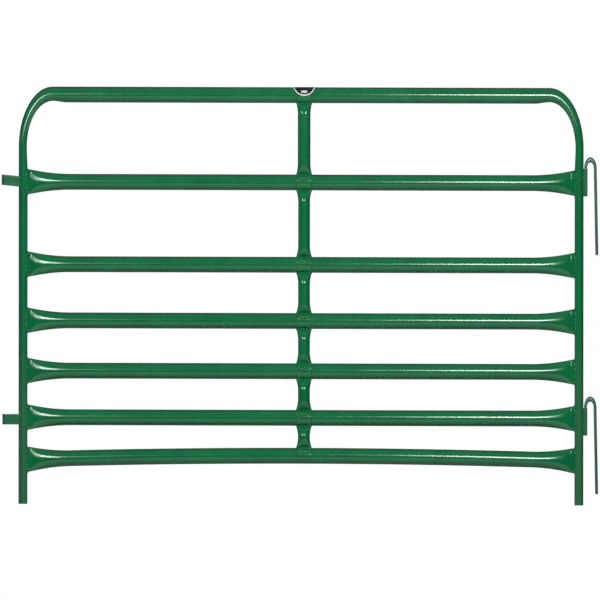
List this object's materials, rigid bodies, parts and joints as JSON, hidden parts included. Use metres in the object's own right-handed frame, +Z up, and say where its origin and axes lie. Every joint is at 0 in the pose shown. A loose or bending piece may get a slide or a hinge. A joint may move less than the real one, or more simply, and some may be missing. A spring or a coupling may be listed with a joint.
{
  "type": "livestock panel gate",
  "caption": "Bent round-tube livestock panel with horizontal rails, centre stays, strap eyes on one leg and lift-out drop pins on the other.",
  "frame": {"origin": "on the ground under the middle of the whole object's box, in the plane of the legs", "axes": "+X along the gate from the strap eyes to the drop pins, +Y from the front to the back, +Z up"},
  "size_m": [3.2205, 0.0636, 1.2676],
  "materials": {
    "enamel": "gloss",
    "pin_enamel": "gloss",
    "badge_film": "gloss"
  },
  "bodies": {
    "root": {"frame_tube": "enamel", "rail_1": "enamel", "rail_2": "enamel", "rail_3": "enamel", "rail_4": "enamel", "rail_5": "enamel", "rail_6": "enamel", "stay_1": "enamel", "stay_2": "enamel", "stay_3": "enamel", "stay_4": "enamel", "stay_5": "enamel", "stay_6": "enamel", "upper_eye": "enamel", "lower_eye": "enamel", "upper_sleeve": "enamel", "lower_sleeve": "enamel", "badge": "badge_film"},
    "upper_shank": {"upper_pin_shank": "pin_enamel"},
    "upper_bow": {"upper_pin_bow": "pin_enamel"},
    "lower_shank": {"lower_pin_shank": "pin_enamel"},
    "lower_bow": {"lower_pin_bow": "pin_enamel"}
  },
  "joints": [
    {"name": "upper_pin_lift", "type": "slide", "parent": "root", "child": "upper_shank", "axis": [0, 0, 1], "range_m": [0, 0.12]},
    {"name": "upper_pin_swivel", "type": "hinge", "parent": "upper_shank", "child": "upper_bow", "pos_m": [1.53475, 0, 1.023], "axis": [0, 0, 1], "range_deg": [-105, 105]},
    {"name": "lower_pin_lift", "type": "slide", "parent": "root", "child": "lower_shank", "axis": [0, 0, 1], "range_m": [0, 0.12]},
    {"name": "lower_pin_swivel", "type": "hinge", "parent": "lower_shank", "child": "lower_bow", "pos_m": [1.53475, 0, 0.297], "axis": [0, 0, 1], "range_deg": [-105, 105]}
  ]
}
